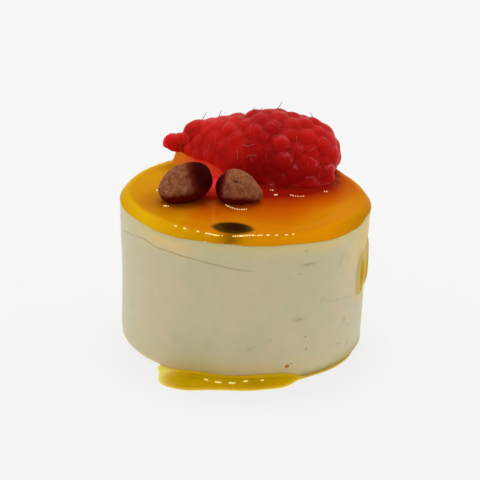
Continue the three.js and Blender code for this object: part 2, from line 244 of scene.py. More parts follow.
def even_sphere(detail):
    """Unit vectors and triangles of an icosahedron with each side split into that many."""
    golden = (1 + math.sqrt(5)) / 2
    corners = [(-1, golden, 0), (1, golden, 0), (-1, -golden, 0), (1, -golden, 0)]
    corners = np.array(corners + [(z, x, y) for x, y, z in corners] + [(y, z, x) for x, y, z in corners])
    sides = [(0, 11, 5), (0, 5, 1), (0, 1, 7), (0, 7, 10), (0, 10, 11), (1, 5, 9), (5, 11, 4),
             (11, 10, 2), (10, 7, 6), (7, 1, 8), (3, 9, 4), (3, 4, 2), (3, 2, 6), (3, 6, 8),
             (3, 8, 9), (4, 9, 5), (2, 4, 11), (6, 2, 10), (8, 6, 7), (9, 8, 1)]
    steps = [(i, j) for i in range(detail + 1) for j in range(detail + 1 - i)]
    place = {step: number for number, step in enumerate(steps)}
    i, j = np.array(steps).T
    weights = np.stack([detail - i - j, i, j], -1) / detail
    triangles = [(place[a, b], place[a + 1, b], place[a, b + 1]) for a, b in steps if a + b < detail]
    triangles += [(place[a + 1, b], place[a + 1, b + 1], place[a, b + 1])
                  for a, b in steps if a + b < detail - 1]
    points = np.vstack([weights @ corners[list(side)] for side in sides])
    faces = np.vstack([np.array(triangles) + number * len(steps) for number in range(20)])
    points /= np.linalg.norm(points, axis=1, keepdims=True)
    kept, index = np.unique(np.round(points, 6), axis=0, return_inverse=True)
    return kept / np.linalg.norm(kept, axis=1, keepdims=True), index.ravel()[faces]


def make_piece(name, points, faces, material, slot, stands_for=None, **masks):
    """A smooth piece from points in millimetres, with a value at each point for each named mask.

    Gives its skin, on which places can be found.
    """
    faces = faces.tolist() if isinstance(faces, np.ndarray) else faces
    mesh = bpy.data.meshes.new(name)
    mesh.from_pydata((points * MM).tolist(), [], faces)
    mesh.shade_smooth()
    for mask, values in masks.items():
        layer = mesh.attributes.new(mask, "FLOAT", "POINT")
        layer.data.foreach_set("value", np.asarray(values, np.float32))
    mesh.materials.append(material)
    piece = bpy.data.objects.new(name, mesh)
    bpy.context.scene.collection.objects.link(piece)
    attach(piece, "root")
    if stands_for:
        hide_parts(stands_for)
    return BVHTree.FromPolygons(points.tolist(), faces)


def tube(path, radii, sides=6):
    """Points and faces of a closed tube along a path, with a radius at each of its points."""
    path = np.asarray(path, float)
    ahead = np.gradient(path, axis=0)
    ahead /= np.linalg.norm(ahead, axis=1, keepdims=True)
    side = np.cross(ahead, (0.31, 0.52, 0.79))
    side /= np.linalg.norm(side, axis=1, keepdims=True)
    other = np.cross(ahead, side)
    angle = np.arange(sides) * 2 * np.pi / sides
    spread = np.cos(angle)[None, :, None] * side[:, None] + np.sin(angle)[None, :, None] * other[:, None]
    return turned_mesh(path[:, None] + np.asarray(radii)[:, None, None] * spread)


def joined(parts):
    """Several point and face lists as one."""
    points, faces, count = [], [], 0
    for part_points, part_faces in parts:
        points.append(part_points)
        faces += [[count + corner for corner in face] for face in part_faces]
        count += len(part_points)
    return np.vstack(points), faces


# Materials

def linear(red, green, blue):
    """A colour as seen on a screen, 0 to 255, as Blender's linear colour."""
    shares = [channel / 255 for channel in (red, green, blue)]
    return [c / 12.92 if c <= 0.04045 else ((c + 0.055) / 1.055) ** 2.4 for c in shares] + [1.0]


# Top of what the glaze wets on the toppings, and how softly it ends there, in metres
BERRY_WET = (0.0226, 0.0012)
NUGGET_WET = (0.0219, 0.0008)
WET_UNEVENNESS = 0.0008


class Nodes:
    """A node tree, and short ways to add nodes to it."""

    def __init__(self, tree):
        self.tree = tree

    def add(self, kind, inputs=None, **settings):
        node = self.tree.nodes.new("ShaderNode" + kind)
        for name, value in settings.items():
            setattr(node, name, value)
        for name, value in (inputs or {}).items():
            self.put(value, node.inputs[name])
        return node

    def put(self, value, socket):
        """Links an output to a socket, or sets the socket's value."""
        if isinstance(value, bpy.types.NodeSocket):
            self.tree.links.new(value, socket)
        else:
            socket.default_value = value

    def split(self, place):
        return self.add("SeparateXYZ", {0: place}).outputs

    def math(self, operation, a, b, clamp=False):
        return self.add("Math", {0: a, 1: b}, operation=operation, use_clamp=clamp).outputs[0]

    def between(self, value, low, high, to_low=0.0, to_high=1.0):
        limits = {"From Min": low, "From Max": high, "To Min": to_low, "To Max": to_high}
        return self.add("MapRange", {"Value": value, **limits}).outputs["Result"]

    def mix(self, share, first, second, way="MIX"):
        sockets = {0: share, 6: first, 7: second}
        return self.add("Mix", sockets, data_type="RGBA", blend_type=way).outputs[2]

    def noise(self, place, scale, detail, roughness=0.5):
        settings = {"Vector": place, "Scale": scale, "Detail": detail, "Roughness": roughness}
        return self.add("TexNoise", settings).outputs["Fac"]

    def ramp(self, value, *stops):
        """A colour ramp through stops of a position and a colour as seen on a screen."""
        node = self.add("ValToRGB", {"Fac": value})
        elements = node.color_ramp.elements
        while len(elements) < len(stops):
            elements.new(0.5)
        for element, (position, *colour) in zip(elements, stops):
            element.position = position
            element.color = linear(*colour)
        return node.outputs["Color"]


def effect(name, inputs, outputs):
    """An empty node group for effects that several materials share."""
    tree = bpy.data.node_groups.new(name, "ShaderNodeTree")
    for way, sockets in (("INPUT", inputs), ("OUTPUT", outputs)):
        for socket, kind in sockets.items():
            tree.interface.new_socket(socket, in_out=way, socket_type="NodeSocket" + kind)
    return Nodes(tree), tree.nodes.new("NodeGroupInput").outputs, tree.nodes.new("NodeGroupOutput").inputs


def make_cloudy_effect():
    """Two tints that drift into each other, as in a mousse or a cloudy jelly."""
    inputs = {"Place": "Vector", "First Tint": "Color", "Second Tint": "Color", "Clouds": "Float"}
    nodes, given, out = effect("cloudy_tints", inputs, {"Tint": "Color"})
    clouds = nodes.between(nodes.noise(given["Place"], given["Clouds"], 3.0, 0.55), 0.32, 0.68)
    nodes.put(nodes.mix(clouds, given["First Tint"], given["Second Tint"]), out["Tint"])
    return nodes.tree


def make_grain_effect():
    """Fine grain of two sizes, as a height and as paler specks."""
    inputs = {"Place": "Vector", "Grain": "Float", "Specks": "Float"}
    nodes, given, out = effect("fine_grain", inputs, {"Height": "Float", "Pale Specks": "Float"})
    nodes.put(nodes.noise(given["Place"], given["Grain"], 4.0, 0.6), out["Height"])
    fine = nodes.noise(given["Place"], given["Specks"], 1.0)
    nodes.put(nodes.between(fine, 0.58, 0.72), out["Pale Specks"])
    return nodes.tree


def make_wet_effect():
    """How wet a thing is from the glaze it stands in: 1 at the foot and 0 above, with an uneven edge."""
    inputs = {"Place": "Vector", "Level": "Float", "Fade": "Float"}
    nodes, given, out = effect("wet_foot", inputs, {"Wet": "Float"})
    lumps = nodes.math("SUBTRACT", nodes.noise(given["Place"], 700.0, 2.0), 0.5)
    edge = nodes.math("ADD", given["Level"], nodes.math("MULTIPLY", lumps, WET_UNEVENNESS))
    under = nodes.math("SUBTRACT", edge, nodes.split(given["Place"])["Z"])
    nodes.put(nodes.math("DIVIDE", under, given["Fade"], clamp=True), out["Wet"])
    return nodes.tree


CLOUDY_TINTS = make_cloudy_effect()
FINE_GRAIN = make_grain_effect()
WET_FOOT = make_wet_effect()


class Finish(Nodes):
    """A material with its Principled shader, its masks and the shared effects."""

    def __init__(self, name, **settings):
        self.material = bpy.data.materials.new(name)
        self.material.use_nodes = True
        super().__init__(self.material.node_tree)
        self.shader = self.tree.nodes["Principled BSDF"]
        self.place = self.add("TexCoord").outputs["Object"]
        self.feed(**settings)

    def feed(self, **inputs):
        for name, value in inputs.items():
            self.put(value, self.shader.inputs[name.replace("_", " ")])

    def mask(self, name):
        return self.add("Attribute", attribute_name=name).outputs["Fac"]

    def over(self, base, **tints):
        """The base colour with a tint laid over it for each mask in turn."""
        for name, tint in tints.items():
            base = self.mix(self.mask(name), base, linear(*tint))
        return base

    def group(self, tree, inputs):
        return self.add("Group", {"Place": self.place, **inputs}, node_tree=tree).outputs

    def tints(self, first, second, clouds):
        colours = {"First Tint": linear(*first), "Second Tint": linear(*second)}
        return self.group(CLOUDY_TINTS, {**colours, "Clouds": clouds})["Tint"]

    def grain(self, size, specks):
        return self.group(FINE_GRAIN, {"Grain": size, "Specks": specks})

    def wet(self, level, fade):
        return self.group(WET_FOOT, {"Level": level, "Fade": fade})["Wet"]

    def bump(self, height, depth, strength):
        bump = self.add("Bump", {"Height": height, "Distance": depth, "Strength": strength})
        self.feed(Normal=bump.outputs["Normal"])


# The gel mirrors its surroundings in amber: a low IOR with a strong tint keeps blue out of its gloss
GEL = dict(Roughness=0.04, IOR=1.02, Specular_Tint=(350.0, 200.0, 0.0, 1.0), Coat_Weight=0.02,
           Coat_Roughness=0.03)
# Light gets into the food: the radius of each colour is in millimetres
SOFT = dict(Subsurface_Weight=1.0, Subsurface_Scale=MM)


def mousse_finish():
    """Pale satin mousse, yellower under the thin film of glaze that has run over it."""
    look = Finish("cheesecake_mousse", Roughness=0.46, Subsurface_Radius=(1.1, 0.8, 0.35),
                  Specular_IOR_Level=0.3, **SOFT)
    broad = look.tints((211, 207, 167), (219, 205, 171), 120.0)
    fine = look.tints((249, 250, 247), (255, 253, 252), 500.0)
    # Under the glaze's rim the stain is also painted light shining through the glaze.
    base = look.over(look.mix(1.0, broad, fine, "MULTIPLY"),
                     stain=(252, 214, 124), mark=(132, 114, 44), seeped=(176, 160, 74))
    film = look.between(look.mask("film"), 0.0, 0.12)
    look.feed(Base_Color=look.mix(film, base, linear(232, 200, 124)))
    look.bump(look.grain(1400.0, 5000.0)["Height"], 0.00003, 0.6)
    return look.material


def glaze_finish():
    """Fruit gel over mousse: yellow where it is thin, orange where deep, and red by the berry, where the
    berry's red light and its reflection are painted in.
    """
    look = Finish("passion_fruit_gel", Subsurface_Radius=(0.7, 0.35, 0.05), **GEL, **SOFT)
    # Painted light and reflection: near the berry and in the gap between the nuggets the gel is red and
    # deeper orange for the berry's red light and its reflection.
    away = look.mask("away")
    orange = look.ramp(away, (0.0, 150, 20, 9), (0.12, 170, 52, 8), (0.25, 184, 66, 3),
                       (0.375, 194, 78, 3), (0.5, 200, 88, 2), (0.625, 205, 98, 3),
                       (0.8, 211, 113, 4), (1.0, 216, 126, 4))
    yellow = look.ramp(away, (0.1, 166, 84, 5), (0.2, 182, 96, 4), (0.33, 192, 112, 3),
                       (0.45, 203, 127, 3), (0.55, 213, 140, 3), (1.0, 214, 146, 3))
    clouds = look.tints((255, 255, 255), (248, 244, 238), 130.0)
    deep = look.mix(1.0, look.mix(look.mask("left"), orange, yellow), clouds, "MULTIPLY")
    # Painted light and shade: along X the thin gel of the rim is made lighter and darker as light falls on
    # it.
    across = look.between(look.split(look.place)["X"], -GLAZE_RADIUS * MM, GLAZE_RADIUS * MM)
    thin = look.ramp(across, (0.0, 210, 150, 2), (0.12, 240, 182, 12), (0.33, 218, 152, 2),
                     (0.62, 228, 150, 1), (0.81, 240, 154, 4), (1.0, 192, 116, 2))
    # Painted shade: the gel is darkened to deep red at the front foot of the nuggets.
    base = look.over(look.mix(look.mask("deep"), thin, deep),
                     mound=(255, 138, 34), glow=(246, 52, 44), dark_foot=(84, 8, 2),
                     seed_halo=(42, 24, 0), seed_core=(34, 14, 10))
    # Painted light: the light that comes through the gel between the toppings and under the berry's tip, as
    # emission and as the brighter colours of these masks
    through = look.mix(look.mask("mound"), (0.0, 0.0, 0.0, 1.0), (0.07, 0.02, 0.002, 1.0))
    through = look.mix(look.mask("glow"), through, (0.11, 0.004, 0.006, 1.0))
    look.feed(Base_Color=base, Emission_Color=through, Emission_Strength=1.0)
    return look.material


def puddle_finish():
    """Glaze that has set on the board: olive yellow, paler where it is thin, and painted lighter where it
    meets the body, against the shade of the cake above it.
    """
    look = Finish("puddle_gel", Subsurface_Radius=(1.4, 0.9, 0.1), **GEL, **SOFT)
    look.feed(Base_Color=look.over(
        look.tints((214, 180, 2), (202, 167, 0), 400.0),
        climbing=(240, 202, 24), pale=(232, 208, 120), ridge=(190, 120, 0), dull=(178, 162, 92)))
    return look.material


def run_finish():
    """Glaze that has run down the side: amber in its drops, and paler where it is thin."""
    look = Finish("run_gel", **GEL)
    amber = look.tints((212, 172, 6), (198, 152, 2), 400.0)
    look.feed(Base_Color=look.over(amber, pale=(226, 202, 136)))
    return look.material


def raspberry_finish():
    """Juicy red skin with a faint pink bloom and a painted pink sheen, painted shade in the creases, painted
    light and shade over it, and wet at the foot.
    """
    look = Finish("raspberry_skin", IOR=1.35, Subsurface_Radius=(1.6, 0.3, 0.25), Coat_Roughness=0.06,
                  Specular_IOR_Level=0.14, Specular_Tint=(1.0, 0.3, 0.25, 1.0), **SOFT)
    # Painted light and shade: a darker red is mixed in by the tone mask.
    bright = look.tints((248, 38, 29), (236, 31, 25), 420.0)
    # Painted shade: the crease mask darkens the creases between the drupelets.
    base = look.over(look.mix(look.mask("tone"), linear(168, 13, 11), bright), crease=(136, 8, 9))
    grain = look.grain(2600.0, 3800.0)
    # Painted sheen: broken pink highlights on the upper shoulders of the drupelets, with some bloom.
    bloom = look.math("MULTIPLY", look.mask("bloom"), look.between(grain["Height"], 0.35, 0.6))
    base = look.mix(bloom, base, linear(228, 112, 118))
    base = look.mix(look.math("MULTIPLY", grain["Pale Specks"], 0.1), base, linear(222, 90, 88))
    wet = look.wet(*BERRY_WET)
    look.feed(Base_Color=base, Coat_Weight=look.math("MULTIPLY", wet, 0.12),
              Roughness=look.between(wet, 0.0, 1.0, 0.42, 0.3))
    look.bump(grain["Height"], 0.00005, 0.4)
    return look.material


def nugget_finish():
    """Dusty cocoa, dark red where juice has soaked it and where shade and the berry's red reflection are
    painted in, and glossy at its wet foot.
    """
    look = Finish("cocoa_nugget", Subsurface_Weight=0.3, Subsurface_Scale=MM,
                  Subsurface_Radius=(0.5, 0.25, 0.15), Specular_IOR_Level=0.035, Coat_Roughness=0.12)
    dusty = look.tints((178, 112, 76), (132, 72, 38), 1500.0)
    grain = look.grain(3600.0, 4600.0)
    pits = look.math("MULTIPLY", look.between(grain["Height"], 0.48, 0.36), 0.6)
    dusty = look.mix(pits, dusty, linear(92, 44, 22))
    dusty = look.mix(look.math("MULTIPLY", grain["Pale Specks"], 0.5), dusty, linear(196, 146, 116))
    soaked = look.mask("soaked")
    base = look.mix(look.between(soaked, 0.0, 0.5), dusty, linear(112, 34, 18))
    base = look.mix(look.between(soaked, 0.45, 1.0), base, linear(58, 2, 2))
    wet = look.wet(*NUGGET_WET)
    look.feed(Base_Color=look.over(base, juicy=(90, 10, 3)), Coat_Weight=look.math("MULTIPLY", wet, 0.3),
              Roughness=look.between(wet, 0.0, 1.0, 0.85, 0.4))
    look.bump(grain["Height"], 0.0002, 1.0)
    return look.material


def plain_finish(name, first, second, clouds, roughness, **settings):
    """Two tints in clouds of a few tenths of a millimetre, for hairs, crumbs and fibres."""
    look = Finish(name, Roughness=roughness, **settings)
    look.feed(Base_Color=look.tints(first, second, clouds))
    return look.material


# Mousse and the run of glaze down its side

def side_radius(height):
    return lerp(BASE_RADIUS, TOP_RADIUS, height / BODY_HEIGHT)


def run_thickness(azimuth, height):
    across = (azimuth - RUN_AZIMUTHS[0]) / (RUN_AZIMUTHS[1] - RUN_AZIMUTHS[0])
    down = (RUN_HEIGHTS[0] - height) / (RUN_HEIGHTS[0] - RUN_HEIGHTS[1])
    narrow = 1 - RUN_NARROWING * smooth(down)
    film = RUN_FILM * np.minimum(1 - ((across - 0.5) / (0.5 * narrow)) ** 2, 1 - down**4)
    blobs = []
    for blob_azimuth, blob_height, half, rise in RUN_BLOBS:
        sideways = np.radians(azimuth - blob_azimuth) * TOP_RADIUS
        up = height - blob_height
        upward = up * np.where(up > 0, 0.32, 0.85)  # each drop has a long tail above it
        blobs.append(rise * bell(np.hypot(sideways, upward) / half))
    return film + np.sum(blobs, axis=0) * RUN_DROP


def line_mask(azimuth, height, ends, half_width):
    """1 on a straight scratch between two (azimuth, height) ends, and 0 a few half widths away."""
    across = np.radians(azimuth) * TOP_RADIUS
    (a0, h0), (a1, h1) = [(math.radians(a) * TOP_RADIUS, h) for a, h in ends]
    length = math.hypot(a1 - a0, h1 - h0)
    along = np.clip(((across - a0) * (a1 - a0) + (height - h0) * (h1 - h0)) / length**2, 0, 1)
    return bell(np.hypot(across - lerp(a0, a1, along), height - lerp(h0, h1, along)) / half_width)


def spot_mask(azimuth, height, spot, half_wide, half_high):
    sideways = np.radians(azimuth - spot[0]) * TOP_RADIUS
    return bell(np.hypot(sideways / half_wide, (height - spot[1]) / half_high))


# Marks in the side of the mousse, by azimuth and height: a scratch's two ends, or a smear's middle and
# its half width and half height
SCRATCHES = [
    ((41.5, 10.5), (49, 10.05)), ((50.5, 9.95), (59.5, 9.5)), ((47.2, 15.2), (49.3, 16.7)),
    ((50.6, 16.8), (50.9, 15.9)), ((52.6, 16.6), (53.4, 15.5)), ((54.3, 16.1), (54.9, 15.6)),
    ((36.9, 10.6), (37.4, 11.35)), ((38.7, 11.35), (39.5, 10.75)), ((49, 3.4), (52.4, 3.1)),
    ((4, 4.9), (6.5, 5.5))]
SMEARS = [
    ((25.9, 8.84), 0.75, 0.28), ((29.5, 16.65), 1.15, 0.2), ((25.0, 15.46), 0.22, 0.15),
    ((27.7, 18.58), 0.25, 0.15), ((30.5, 4.23), 0.2, 0.2), ((58.1, 2.53), 0.2, 0.2), ((54, 6.6), 0.2, 0.45),
    ((57, 5.4), 0.2, 0.2)]
SIDE_LUMP = ((-76.5, 3.0), 0.5, 0.4)
FAINT_SMEARS = [((-31, 4.7), 0.5, 0.7), ((12.8, 6.3), 0.6, 0.2), ((3.4, 5.0), 0.5, 0.4)]


def mousse_rings(azimuth, foot):
    """Points of the mousse, ring by ring: over its base, up its side and in over its lid."""
    rings = [(share * (BASE_RADIUS - FOOT_ROUNDING), 0.0) for share in (0.25, 0.5, 0.75, 0.93)]
    for turn in np.radians(np.linspace(0, 90, 7)[:-1]):
        rings.append((BASE_RADIUS - FOOT_ROUNDING * (1 - math.sin(turn)),
                      FOOT_ROUNDING * (1 - math.cos(turn))))
    points = [polar(radius, azimuth, height) for radius, height in rings]
    # Closer together at the height of the crease
    for height in np.concatenate([np.linspace(FOOT_ROUNDING, 16.4, 105, endpoint=False),
                                  np.linspace(16.4, 18.2, 19, endpoint=False),
                                  np.linspace(18.2, BODY_HEIGHT, 12)]):
        level = height * lerp(1.0, foot / BODY_HEIGHT, above(height, 17, 2.7))
        points.append(polar(side_radius(height), azimuth, level))
    for inset in (0.12, 0.5, 2.0, 6.0, 12.0):
        lid = foot if inset < 0.2 else np.minimum(foot, BODY_HEIGHT)
        points.append(polar(TOP_RADIUS - inset, azimuth, lid))
    return np.array(points)


def press_marks(push, angle, height):
    """Presses the crease, scratches and smears into the side, and gives how dark each place is: partly their
    own colour and partly painted shade in the pressed grooves and dents.
    """
    crease_height = curve_through(CREASE_AT, angle)
    shown = above(angle, -74, 3) * (1 - above(angle, 1, 7))
    shown = shown * (1 - 0.75 * bell((angle + 57) / 3.0))
    crease = bell((height - crease_height) / 0.08) * shown
    push -= 0.11 * crease
    lip = smooth((crease_height - height + 0.1) / 0.3) * bell((height - crease_height) / 0.8)
    push += 0.05 * shown * lip
    mark = 0.26 * crease
    for ends in SCRATCHES:
        scratch = line_mask(angle, height, ends, 0.08)
        push -= 0.04 * scratch
        mark = np.maximum(mark, 0.26 * scratch)
    for spot, half_wide, half_high in SMEARS:
        smear = spot_mask(angle, height, spot, half_wide, half_high)
        push -= 0.06 * smear
        mark = np.maximum(mark, 0.34 * smear)
    for spot, half_wide, half_high in FAINT_SMEARS:
        mark = np.maximum(mark, 0.12 * spot_mask(angle, height, spot, half_wide, half_high))
    push += 0.16 * spot_mask(angle, height, *SIDE_LUMP)
    return mark


def side_stain(angle, height, foot):
    """Where the glaze has tinted the mousse: under its rim, beside the run and near the puddle. Under the rim
    it is also painted light, shining yellow through the glaze.
    """
    under_rim = lerp(0.3, 0.5, above(angle, 5, 25)) * bell((height - foot) / 1.5)
    return np.max([0.55 * spot_mask(angle, height, (-38, 18.6), 5.5, 1.2),
                   under_rim, 0.5 * bell((height - foot) / 0.6),
                   0.35 * spot_mask(angle, height, (58, 16), 2.0, 4.0),
                   0.34 * below(height, 4.5, 4.3) * bell((angle - 6) / 48)], axis=0)


def make_mousse(material):
    azimuth = np.concatenate([np.linspace(-82, 92, 468, endpoint=False),  # finer where it shows
                              np.linspace(92, 278, 142, endpoint=False)])
    azimuth = np.sort((azimuth + 180) % 360 - 180)
    foot = curve_through(GLAZE_FOOT, azimuth) + 0.06
    grid = mousse_rings(azimuth, foot)
    height, angle = grid[..., 2], np.broadcast_to(azimuth, grid.shape[:2])
    radius = np.hypot(grid[..., 0], grid[..., 1])
    share, turned = height / BODY_HEIGHT, np.radians(angle)
    wave = np.sin(2 * turned + 3 * share) + 0.6 * np.sin(5 * turned - 4 * share + 1)
    flat = grid.reshape(-1, 3)
    rough = 0.045 * grain_at(flat, 5.0, 1) + 0.016 * grain_at(flat, 1.3, 2)
    rough = rough + 0.006 * grain_at(flat, 0.45, 3)
    push = SIDE_UNEVENNESS * wave * np.sin(np.pi * share) + rough.reshape(height.shape)
    # Partly the marks' own colour and partly painted shade in the crease, scratches and dents.
    mark = press_marks(push, angle, height)
    film = np.maximum(run_thickness(angle, height), 0) * (height > 6.5)
    seep = bell((height - 0.2) / lerp(0.55, 0.95, above(angle, 35, 25)))
    seep = seep * above(angle, 24, 6) * (1 - above(angle, 78, 8))
    push += 0.5 * film + 0.1 * seep
    masks = dict(film=film, stain=side_stain(angle, height, foot), mark=mark, seeped=0.75 * seep)

    push *= above(radius, 15.5, 1.2)
    grid[..., 0] += push * np.sin(turned)
    grid[..., 1] -= push * np.cos(turned)
    points, faces = turned_mesh(grid)
    make_piece("cheesecake_mousse", points, faces, material, "cheesecake", "cheesecake_body",
               **{mask: np.append(values, [0.0, 0.0]) for mask, values in masks.items()})


def make_run(material):
    """The thicker glaze of the run, as a closed shell that thins into the mousse at its edges."""
    azimuth, height = np.meshgrid(*(np.linspace(*span) for span in RUN_SKIN))
    film = run_thickness(azimuth, height)
    rise = film + 0.01 - 0.3 * (1 - above(film, 0.13, 0.09))
    outer = polar(side_radius(height) + rise, azimuth, height)
    inner = polar(side_radius(height) - 0.6, azimuth, height)
    pale = 1 - above(film, 0.13, 0.24)
    points = np.vstack([outer.reshape(-1, 3), inner.reshape(-1, 3)])
    make_piece("glaze_run", points, slab_faces(*height.shape), material, "fruit_glaze",
               pale=np.tile(pale.ravel(), 2))


# Raspberry

def berry_outline(share):
    power, root = BERRY_BLUNT
    blunt = np.clip(1 - np.abs(1 - share / BERRY_WIDEST) ** power, 0, 1) ** root
    taper = 1 - np.clip((share - BERRY_WIDEST) / (1 - BERRY_WIDEST), 0, 1) ** BERRY_TAPER
    return np.where(share < BERRY_WIDEST, blunt, taper)


def berry_underside(x):
    lifted = TIP_LIFT * smooth((LIFT_START - x) / LIFT_LENGTH) + TIP_RISE * below(x, -9.9, 2.0)
    return GLAZE_TOP - TOPPING_SINK + lifted


def berry_point(distance, back, height):
    x = BERRY_STEM[0] - distance * math.cos(BERRY_TURN) + back * math.sin(BERRY_TURN)
    y = BERRY_STEM[1] + distance * math.sin(BERRY_TURN) + back * math.cos(BERRY_TURN)
    return np.stack(np.broadcast_arrays(x, y, berry_underside(x) + height), -1)


def berry_form(share, angle):
    """Places on the smooth form of the berry: share of its length, and angle from its crest."""
    outline = berry_outline(share)
    height = BERRY_HEIGHT * outline
    for place, spread, rise in CREST_WAVES:
        height = height + rise * bell((share - place) / spread)
    form = berry_point(BERRY_LENGTH * share, BERRY_HALF_WIDTH * outline * np.sin(angle),
                       height * np.cos(angle))
    low = below(form[..., 2], 24.6, 3.8)
    form[..., 0] -= STEM_TUCK * low * above(form[..., 0], 9, 4)
    return form


def drupelets():
    """Top, centre and radius of each drupelet, spread evenly over the berry's form."""
    share = (1 - np.cos(np.linspace(0.03, 0.985, 130) * np.pi))[:, None] / 2
    angle = np.radians(np.linspace(-93, 93, 96))[None, :]
    form = berry_form(share, angle)
    normal = np.cross(np.gradient(form, axis=0), np.gradient(form, axis=1))
    area = np.linalg.norm(normal, axis=-1)
    size = lerp(TIP_SHARE, 1.0, smooth(berry_outline(share) / 0.75 - 0.1)) + 0 * area
    normal /= area[..., None]
    normal *= np.sign((normal * (form - form.mean((0, 1)))).sum(-1))[..., None]
    form, normal, area, size = form.reshape(-1, 3), normal.reshape(-1, 3), area.ravel(), size.ravel()
    weight = area / size**2
    count = round(weight.sum() / (DRUPELET_ROOM * DRUPELET_PITCH**2))
    chosen = [int(np.argmin(form[:, 0]))]
    apart = np.full(len(form), np.inf)
    for _ in range(count - 1):
        apart = np.minimum(apart, np.linalg.norm(form - form[chosen[-1]], axis=1) / size)
        chosen.append(int(np.argmax(apart)))
    tops = form[chosen]
    for _ in range(8):
        owner = np.argmin(np.linalg.norm(form[:, None] - tops[None], axis=2), axis=1)
        sums = np.array([np.bincount(owner, weight * form[:, axis], count) for axis in range(3)])
        tops = (sums / np.maximum(np.bincount(owner, weight, count), 1e-9)).T
    nearest = np.array([int(np.argmin(np.linalg.norm(form - top, axis=1))) for top in tops])
    number = np.arange(count)
    radius = DRUPELET_RADIUS * size[nearest] * (1 + RADIUS_SPREAD * (chance(number + 200) - 0.5))
    proud = PROUD_SPREAD * (chance(number + 300) - 0.5)
    return form[nearest], form[nearest] - (radius - proud)[:, None] * normal[nearest], radius


def flesh_balls():
    """The flesh between the drupelets: two rows of balls along the axis, one above the other."""
    balls, steps = [], 24
    for i in range(steps + 1):
        share = i / steps
        outline = float(berry_outline(share))
        radius = (BERRY_HALF_WIDTH - FLESH_DEPTH) * outline
        even = lerp(FLESH_DEPTH + 1.0, BERRY_LENGTH - FLESH_DEPTH - 1.0, share)
        distance = min(max(even, radius + 1.4), BERRY_LENGTH - radius)
        for height in (0.0, (BERRY_HEIGHT - BERRY_HALF_WIDTH) * outline):
            balls.append((berry_point(distance, 0.0, height), radius))
    return balls


def exit_distance(start, direction, centre, radius):
    """How far each ray leaves a ball, or 0 where it misses it."""
    towards = centre - start
    along = (towards * direction).sum(-1)
    missed = (towards**2).sum(-1) - along**2
    return np.where(missed > radius**2, 0.0, along + np.sqrt(np.clip(radius**2 - missed, 0, None)))


def berry_skin():
    """Points and faces of the berry, its crease mask for painted shade, its bloom and painted sheen mask, its
    tone mask, to which painted light and shade are added later, and the way out at each point.
    """
    middle, spread, start_height = 0.44, 0.38, 0.4
    normal, faces = even_sphere(BERRY_DETAIL)
    start = berry_point(BERRY_LENGTH * (middle + spread * normal[:, 0]), 0.0, start_height)
    turn = math.pi - BERRY_TURN
    direction = np.stack([normal[:, 0] * math.cos(turn) - normal[:, 1] * math.sin(turn),
                          normal[:, 0] * math.sin(turn) + normal[:, 1] * math.cos(turn),
                          normal[:, 2]], -1)
    tops, centres, radii = drupelets()
    druped = np.array([exit_distance(start, direction, c, r) for c, r in zip(centres, radii)])
    fleshy = np.array([exit_distance(start, direction, c, r) for c, r in flesh_balls()]).max(0)
    outer = start + (fleshy + 1.0)[:, None] * direction
    front_left = below(outer[:, 0], 3.5, 7) * below(outer[:, 1], 5.0, 3)
    fleshy = fleshy + FLESH_LIFT_FRONT * front_left
    ranked = np.sort(druped, axis=0)
    first, second = ranked[-1], np.maximum(ranked[-2], fleshy)
    highest = np.maximum(np.maximum(first, second), 1.0)
    everything = np.vstack([druped, fleshy])
    soft = SKIN_SOFTNESS * np.log(np.exp((everything - highest) / SKIN_SOFTNESS).sum(0))
    points = start + (highest + soft - 0.06)[:, None] * direction
    nearest = np.argmax(druped, axis=0)
    aside = (points - tops[nearest]) @ np.array([0.5, 0.0, 0.85])
    upper = above(aside, 0.2, 0.7)
    gap = first - second
    # Painted sheen on the upper side of each drupelet, near its edge.
    bloom = bell((gap - 0.34) / 0.14) * upper
    # Painted shade in the creases between drupelets.
    crease = bell(gap / 0.17)
    tone = chance(nearest + 41.0)
    points[:, 2] = np.maximum(points[:, 2], berry_underside(points[:, 0]))
    return points, faces, crease, bloom, tone, direction


def make_raspberry(material):
    points, faces, crease, bloom, tone, direction = berry_skin()
    dimples = 0.03 * grain_at(points, 0.8, 5) + 0.012 * grain_at(points, 0.3, 6)
    broken = np.clip(0.55 + 1.1 * grain_at(points, 0.8, 7), 0, 1)
    off_the_foot = above(points[:, 2] - berry_underside(points[:, 0]), 0.0, 0.3)
    points = points + (dimples * off_the_foot)[:, None] * direction
    front = below(points[:, 1], 4.0, 3.5) * above(points[:, 0], -5.5, 4)
    high, low = above(points[:, 2], 26.5, 3), below(points[:, 2], 23, 1.5)
    left, right = below(points[:, 0], 1.5, 7), above(points[:, 0], 6, 4)
    # Painted light and shade: lighter at the left and near the foot, darker at the front and over the top
    # middle, on a random tone for each drupelet.
    tone = 0.33 + 0.2 * (tone - 0.5) + 0.2 * left - 0.25 * front + (0.15 + 0.4 * right) * low
    tone = np.clip(tone + high * lerp(-0.15 * (1 - left), 0.02, right), 0, 1)
    bloom = bloom * broken * (0.3 + 0.7 * above(points[:, 0], 1, 6))
    broken = broken * (1 - 0.75 * below(points[:, 0], 3, 6) * below(points[:, 1], 9, 3))
    return make_piece("raspberry_drupelets", points, faces, material, "raspberry", "raspberry_half",
                      crease=crease * (0.08 + 0.5 * broken), bloom=bloom, tone=tone)


